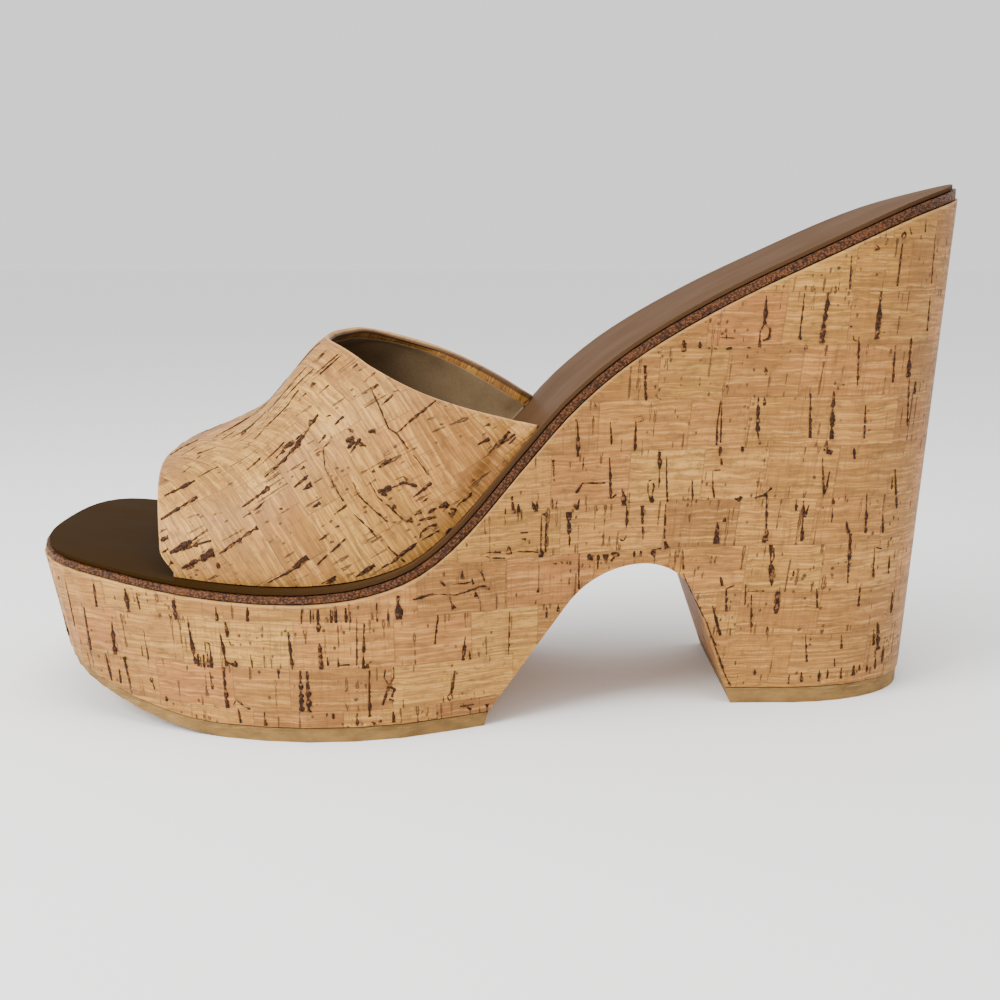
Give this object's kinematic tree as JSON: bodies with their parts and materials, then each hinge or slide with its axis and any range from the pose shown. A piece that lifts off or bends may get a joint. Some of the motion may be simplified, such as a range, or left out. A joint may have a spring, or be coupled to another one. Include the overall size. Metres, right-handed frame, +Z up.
{
  "type": "platform sandal",
  "caption": "Left platform mule: cork-covered wedge on a block heel, leather footbed, rubber treads and one wide cork band across the foot, open at toe and back.",
  "frame": {"origin": "middle of the flat tread under the ball of the foot, on the floor", "axes": "-X towards the toe, +X towards the heel, -Y the outer side of the foot, +Y the inner side, +Z up"},
  "size_m": [0.229, 0.0986, 0.127],
  "materials": {
    "wedge_cork": "natural cork sheet, lightly waxed",
    "band_cork": "natural cork sheet on a leather lining",
    "board_leather": "dark brown, pebbled edge",
    "sock_leather": "dark brown, smooth and glossy",
    "tread_rubber": "tan rubber, matt"
  },
  "bodies": {
    "root": {"platform": "wedge_cork", "forefoot_tread": "tread_rubber", "heel_tread": "tread_rubber", "footbed_board": "board_leather", "footbed_sock": "sock_leather", "upper_band": "band_cork"}
  },
  "joints": []
}
